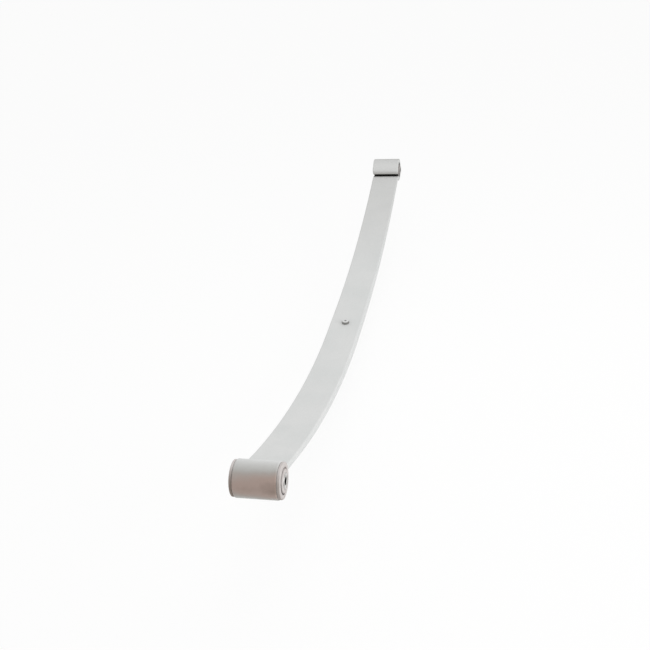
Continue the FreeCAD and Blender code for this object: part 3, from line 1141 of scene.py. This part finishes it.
@dataclass
class BondedRearBush:
    """Steel shell of the rear bush and the rubber bonded into it."""

    shell_wall: float = 1.8 * MM
    shell_rounding: float = 0.6 * MM
    inner_rounding: float = 0.3 * MM
    # Share of the bore's dark colour laid over the whole shell.
    shell_darkening: float = 0.5
    sleeve_hole: float = 11.05 * MM
    rubber_rise: float = 4.0 * MM
    rubber_swell: float = 0.5 * MM
    rubber_shade: float = 0.7
    face_steps: int = 10
    columns: int = 112

    def build_shell(self, zinc: bpy.types.Material) -> bpy.types.Object:
        """Builds the pressed-in shell.

        Args:
            zinc: Its finish.

        Returns:
            The piece.
        """
        cad = RoundNode("rear_bush_shell")
        inner = cad.radius - self.shell_wall
        corners = [
            Corner(inner, cad.low, self.inner_rounding),
            Corner(cad.radius, cad.low, self.shell_rounding),
            Corner(cad.radius, cad.high, self.shell_rounding),
            Corner(inner, cad.high, self.inner_rounding),
        ]
        rings = across_rings(rounded(corners), cad.axis, self.columns)
        shell = skin("rear_bush_shell_tube", rings, Ends.JOINED,
                     {"in_bore": per_ring([self.shell_darkening] * len(rings), self.columns)})
        settle(shell, zinc, "sleeve_steel", "rear_bush_shell")
        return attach(shell, "rear_eye")

    def build_rubber(self, rubber: bpy.types.Material) -> bpy.types.Object:
        """Builds the rubber, whose faces dish from the shell and swell towards the sleeve.

        Args:
            rubber: Its finish.

        Returns:
            The piece.
        """
        cad = RoundNode("rear_bush_rubber")
        outline: Outline = []
        for side in (-1, 1):
            face = []
            for step in range(self.face_steps + 1):
                share = step / self.face_steps
                swell = self.rubber_swell * math.sin(math.pi * share) ** 2
                radius = self.sleeve_hole + (cad.radius - self.sleeve_hole) * share
                face.append((radius, side * (cad.high - self.rubber_rise * share - swell)))
            outline += face if side < 0 else face[::-1]
        rings = across_rings(outline, cad.axis, self.columns)
        # The rear rubber is darkened all over towards dark rubber, as painted shade of its recess.
        moulding = skin("rear_bush_rubber_moulding", rings, Ends.JOINED,
                        {"dark_rubber_shade": per_ring([self.rubber_shade] * len(rings), self.columns),
                         "painted_shade": per_ring([0.0] * len(rings), self.columns)})
        settle(moulding, rubber, "bush_rubber", "rear_bush_rubber")
        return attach(moulding, "rear_eye")


# ---------------------------------------------------------------------------------------------
# Centre bolt and nut


@dataclass
class CentreBolt:
    """Round-headed bolt with a turned centre, and a rolled thread below the leaf.

    Attributes:
        axis_radius: Radius of the little faces that close the mesh on its axis.
        crest: Width of the thread's crest, as a share of its pitch.
        flank: Width of the thread's two flanks together, as a share of its pitch.
        plain_pitches: Pitches from the nut's top that the plain shank reaches down.
        mist_reach: How far down the head's edge the mist reaches, as a share of the edge.
    """

    shank: float = 10.0 * MM
    shank_rounding: float = 0.1 * MM
    axis_radius: float = 0.15 * MM
    head_edge: float = 1.0 * MM
    top_rounding: float = 0.35 * MM
    side_rounding: float = 0.45 * MM
    foot_rounding: float = 0.2 * MM
    dimple_radius: float = 2.5 * MM
    dimple_depth: float = 2.4 * MM
    dimple_rounding: float = 0.25 * MM
    pitch: float = 1.5 * MM
    crest: float = 0.12
    flank: float = 0.7
    thread_depth: float = 0.92 * MM
    plain_pitches: int = 2
    end_chamfer: float = 1.0 * MM
    mist_reach: float = 0.75
    rows_per_pitch: int = 14
    columns: int = 72

    def thread(self, height: float, end: float) -> Callable[[float], float]:
        """Shapes the thread at a height, where the chamfer at the bolt's end trims it.

        Args:
            height: Height of the ring.
            end: Height of the bolt's lower end.

        Returns:
            The function that gives the thread's radius at a turn.
        """
        major = self.shank / 2
        limit = major - self.end_chamfer + (height - end)

        def radius(turn: float) -> float:
            """Follows the thread round.

            Args:
                turn: Angle about the axis, in radians.

            Returns:
                The radius.
            """
            phase = (height / self.pitch - turn / math.tau) % 1.0
            drop = min(1.0, max(0.0, (abs(2 * phase - 1) - self.crest) / self.flank))
            return min(major - self.thread_depth * drop, limit)

        return radius

    def build(self, steel: bpy.types.Material) -> bpy.types.Object:
        """Builds head, shank and thread as one closed mesh.

        Args:
            steel: Its finish.

        Returns:
            The piece.
        """
        low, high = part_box("centre_bolt")
        head, top, end, shank = (high.x - low.x) / 2, high.z, low.z, self.shank / 2
        thread_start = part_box("centre_nut")[1].z - self.plain_pitches * self.pitch
        corners = [
            Corner(self.axis_radius, top - self.dimple_depth),
            Corner(self.dimple_radius, top, self.dimple_rounding),
            Corner(head - self.head_edge, top, self.top_rounding),
            Corner(head, top - self.head_edge, self.side_rounding),
            Corner(head, 0.0, self.foot_rounding),
            Corner(shank, 0.0, self.shank_rounding),
            Corner(shank, thread_start),
            Corner(self.axis_radius, thread_start),
        ]
        outline = rounded(corners, steps=3)[:-1]
        rows: list[Row] = [(lambda turn, reach=radius: reach, along) for radius, along in outline]
        # The head's top gets the pale mist; its side and dimple stay dark, as painted shade.
        mist_end = top - self.mist_reach * self.head_edge
        misted = [float(along > mist_end and radius > self.dimple_radius)
                  for radius, along in outline]
        count = int((thread_start - end) / (self.pitch / self.rows_per_pitch))
        for index in range(1, count + 1):
            height = thread_start - index * (thread_start - end) / count
            rows.append((self.thread(height, end), height))
            misted.append(0.0)
        bolt = skin("centre_bolt_forging", upright_rings(rows, self.columns), Ends.CAPPED,
                    {"misted": per_ring(misted, self.columns)})
        settle(bolt, steel, "fastener_steel", "centre_bolt")
        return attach(bolt, "leaf")


@dataclass
class CentreNut:
    """Hexagon nut with both ends turned to a cone, and with crisp edges."""

    bore: float = 10.1 * MM
    bore_chamfer: float = 0.6 * MM
    face_inset: float = 0.4 * MM
    corner_softening: float = 0.2 * MM
    cone_slope: float = math.tan(math.radians(30))
    crisp_angle: float = math.radians(12)
    cone_steps: int = 6
    columns: int = 144

    def build(self, steel: bpy.types.Material) -> bpy.types.Object:
        """Builds the nut, with the curved edges that its cones leave on its flats.

        Args:
            steel: Its finish.

        Returns:
            The piece.
        """
        low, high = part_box("centre_nut")
        corner = (high.x - low.x) / 2
        flat = corner * math.cos(math.pi / 6)
        land = flat - self.face_inset

        def hexagon(turn: float) -> float:
            """Radius of the hexagon with its softened corners."""
            swing = (turn % (math.pi / 3)) - math.pi / 6
            return min(flat / math.cos(swing), corner - self.corner_softening)

        def level(limit: float) -> Callable[[float], float]:
            """Radius of the hexagon at each turn, where a circle of this radius trims it."""
            return lambda turn: min(hexagon(turn), limit)

        bore = self.bore / 2
        rows: list[Row] = []
        cone = [land + (corner - land) * step / self.cone_steps
                for step in range(self.cone_steps + 1)]
        for end, sign in ((low.z, 1), (high.z, -1)):
            part = [(level(bore), end + sign * self.bore_chamfer),
                    (level(bore + self.bore_chamfer), end)]
            part += [(level(limit), end + sign * (limit - land) * self.cone_slope)
                     for limit in cone]
            rows += part if sign > 0 else part[::-1]
        rings = upright_rings(rows, self.columns)
        nut = skin("centre_nut_forging", rings, Ends.JOINED,
                   {"misted": per_ring([0.0] * len(rings), self.columns)})
        shade(nut, self.crisp_angle)
        settle(nut, steel, "fastener_steel", "centre_nut")
        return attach(nut, "leaf")


# ---------------------------------------------------------------------------------------------
# Studio


@dataclass(frozen=True)
class SoftBox:
    """A square lamp that points at the spring.

    Attributes:
        name: Name of the lamp.
        place: Where it hangs, in metres.
        size: Length of its side, in metres.
        power: Power in watts.
    """

    name: str
    place: tuple[float, float, float]
    size: float
    power: float


@dataclass
class Studio:
    """Pale floor, soft light and the camera.

    Attributes:
        target: Point that the camera looks at.
        azimuth: Direction that it looks in, from +X towards +Y, in degrees.
        elevation: How far it looks down, in degrees.
        roll: How far it is turned about its own direction, in degrees.
        distance: Its distance from the target.
        lens: Its focal length, in millimetres.
        sensor: Width of its sensor, in millimetres.
        floor_size: Length of the floor's side.
        room_below: Height of the lowest part of the spring above the floor.
        ambient: Strength of the even light from all round.
        boxes: The lamps.
    """

    target: tuple[float, float, float] = (-0.19025, 0.0, 0.10682)
    azimuth: float = 14.011
    elevation: float = 30.107
    roll: float = -5.583
    distance: float = 1.8662
    lens: float = 51.708
    sensor: float = 36.0
    floor_size: float = 40.0
    room_below: float = 50.0 * MM
    ambient: float = 0.76
    boxes: tuple[SoftBox, ...] = (
        SoftBox("overhead_box", (-0.15, -0.2, 1.2), 0.9, 2.95),
        SoftBox("side_box", (-1.2, -2.4, 1.0), 1.6, 22.0),
    )

    def build(self) -> None:
        """Builds the floor, the world, the lamps and the camera."""
        bpy.context.scene.view_settings.view_transform = "Standard"
        self.build_floor()
        self.build_world()
        for box in self.boxes:
            self.hang(box)
        self.aim_camera()

    def build_floor(self) -> None:
        """Lays the paper under the spring, with room for both arms to flatten fully."""
        level = CAD_BOX[0][2] - self.room_below
        half = self.floor_size / 2
        mesh = bpy.data.meshes.new("paper_floor")
        mesh.from_pydata([(-half, -half, level), (half, -half, level), (half, half, level),
                          (-half, half, level)], [], [(0, 1, 2, 3)])
        floor = put_in_scene("paper_floor", mesh)
        floor.data.materials.append(MattPaperFloor().material())
        floor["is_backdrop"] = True

    def build_world(self) -> None:
        """Surrounds the spring with even light that shows as white."""
        world = bpy.data.worlds.new("even_white_surround")
        world.use_nodes = True
        tree = world.node_tree
        tree.nodes.clear()
        lighting = add_node(tree, "Background", Color=WHITE, Strength=self.ambient)
        shown = add_node(tree, "Background", Color=WHITE, Strength=1.0)
        either = add_node(tree, "MixShader", in_order=(seen_directly(tree), lighting.outputs[0],
                                                       shown.outputs[0]))
        add_node(tree, "OutputWorld", Surface=either.outputs[0])
        bpy.context.scene.world = world

    def hang(self, box: SoftBox) -> None:
        """Hangs one lamp and points it at the middle of the spring.

        Args:
            box: The lamp.
        """
        data = bpy.data.lights.new(box.name, "AREA")
        data.shape = "SQUARE"
        data.size = box.size
        data.energy = box.power
        lamp = put_in_scene(box.name, data)
        lamp.location = box.place
        lamp.rotation_euler = (-Vector(box.place)).to_track_quat("-Z", "Y").to_euler()

    def aim_camera(self) -> None:
        """Places the camera by its angles, its distance from the target and its roll."""
        turn, tilt = math.radians(self.azimuth), math.radians(self.elevation)
        ahead = Vector((math.cos(tilt) * math.cos(turn), math.cos(tilt) * math.sin(turn),
                        -math.sin(tilt)))
        level = ahead.cross(Vector((0.0, 0.0, 1.0))).normalized()
        above = level.cross(ahead)
        cosine, sine = math.cos(math.radians(self.roll)), math.sin(math.radians(self.roll))
        right, up = cosine * level + sine * above, cosine * above - sine * level
        data = bpy.data.cameras.new("studio_camera")
        data.sensor_width = self.sensor
        data.lens = self.lens
        camera = put_in_scene("studio_camera", data)
        pose = Matrix((right, up, -ahead)).transposed().to_4x4()
        pose.translation = Vector(self.target) - ahead * self.distance
        camera.matrix_world = pose
        bpy.context.scene.camera = camera


def write_sizes() -> None:
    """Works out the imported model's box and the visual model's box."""
    boxes = {"cad": CAD_BOX, "visual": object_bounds()}
    plain = {name: [list(corner) for corner in box] for name, box in boxes.items()}


def main() -> None:
    """Builds every sub-assembly and the studio."""
    logging.basicConfig(level=logging.INFO, format="%(name)s %(message)s")
    paint = SprayedLeafPaint().material()
    rubber = MouldedBushRubber().material()
    zinc = ZincPlatedTube().material()
    steel = PhosphatedFastener().material()
    LeafHalf("leaf_front_half", -1, "front_eye", "front_bush_twist",
             end_angle=21.9, eye_offset=-7.5 * MM).build(paint)
    LeafHalf("leaf_rear_half", 1, "rear_eye", "rear_bush_twist",
             end_angle=15.0, eye_offset=3.5 * MM, far_end_shade=0.16).build(paint)
    FlangedBushHalf("front_bush_left", rim_shade=0.6).build(rubber)
    FlangedBushHalf("front_bush_right").build(rubber)
    InnerSleeve("front_inner_sleeve", "front_sleeve").build(zinc)
    rear = BondedRearBush()
    rear.build_shell(zinc)
    rear.build_rubber(rubber)
    InnerSleeve("rear_inner_sleeve", "rear_sleeve").build(zinc)
    CentreBolt().build(steel)
    CentreNut().build(steel)
    Studio().build()
    write_sizes()


if __name__ == "__main__":
    main()
